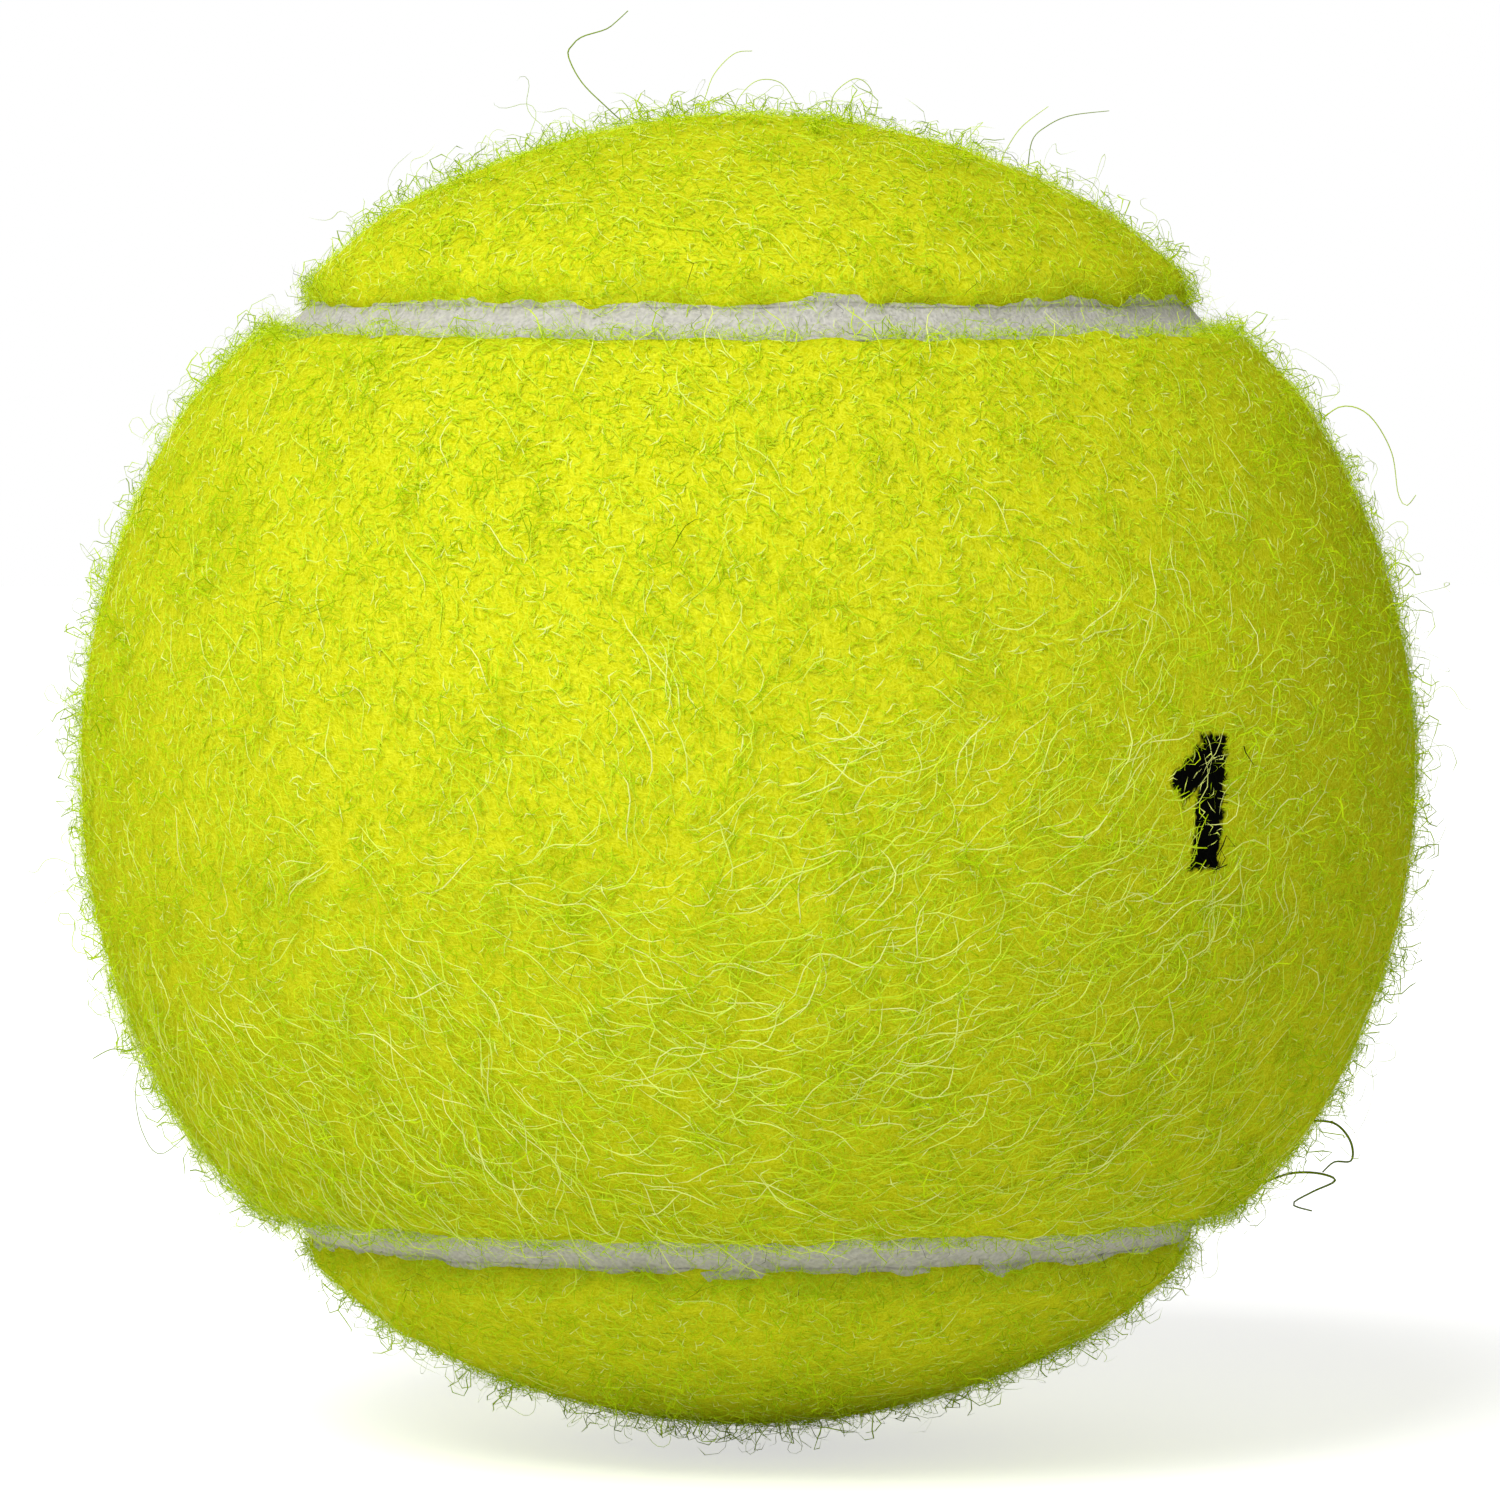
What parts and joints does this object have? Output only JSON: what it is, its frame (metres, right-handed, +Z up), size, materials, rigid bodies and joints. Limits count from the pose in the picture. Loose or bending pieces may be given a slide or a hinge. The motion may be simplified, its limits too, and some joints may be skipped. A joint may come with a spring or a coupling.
{
  "type": "tennis ball",
  "caption": "Felt-covered hollow rubber ball: bonded core halves under interlocking dumbbell felt panels, closed by one winding rubber seam.",
  "frame": {"origin": "centre of the ball", "axes": "+Z up; -Y out of the middle of the front panel's waist, which is the side that is shown; +X to the right, along the front panel's lobes"},
  "size_m": [0.067, 0.067, 0.067],
  "materials": {
    "core_rubber": "moulded, matt",
    "bond_rubber": "cured adhesive, satin",
    "rubber_cement": "dried film, satin",
    "felt": "napped wool and nylon felt, dyed optic yellow",
    "seam_rubber": "cured, matt"
  },
  "bodies": {
    "root": {"core_half_upper": "core_rubber", "core_half_lower": "core_rubber", "core_bond_ring": "bond_rubber", "cement_film_front": "rubber_cement", "cement_film_back": "rubber_cement", "felt_panel_front": "felt", "felt_panel_back": "felt", "seam_strip": "seam_rubber"}
  },
  "joints": []
}
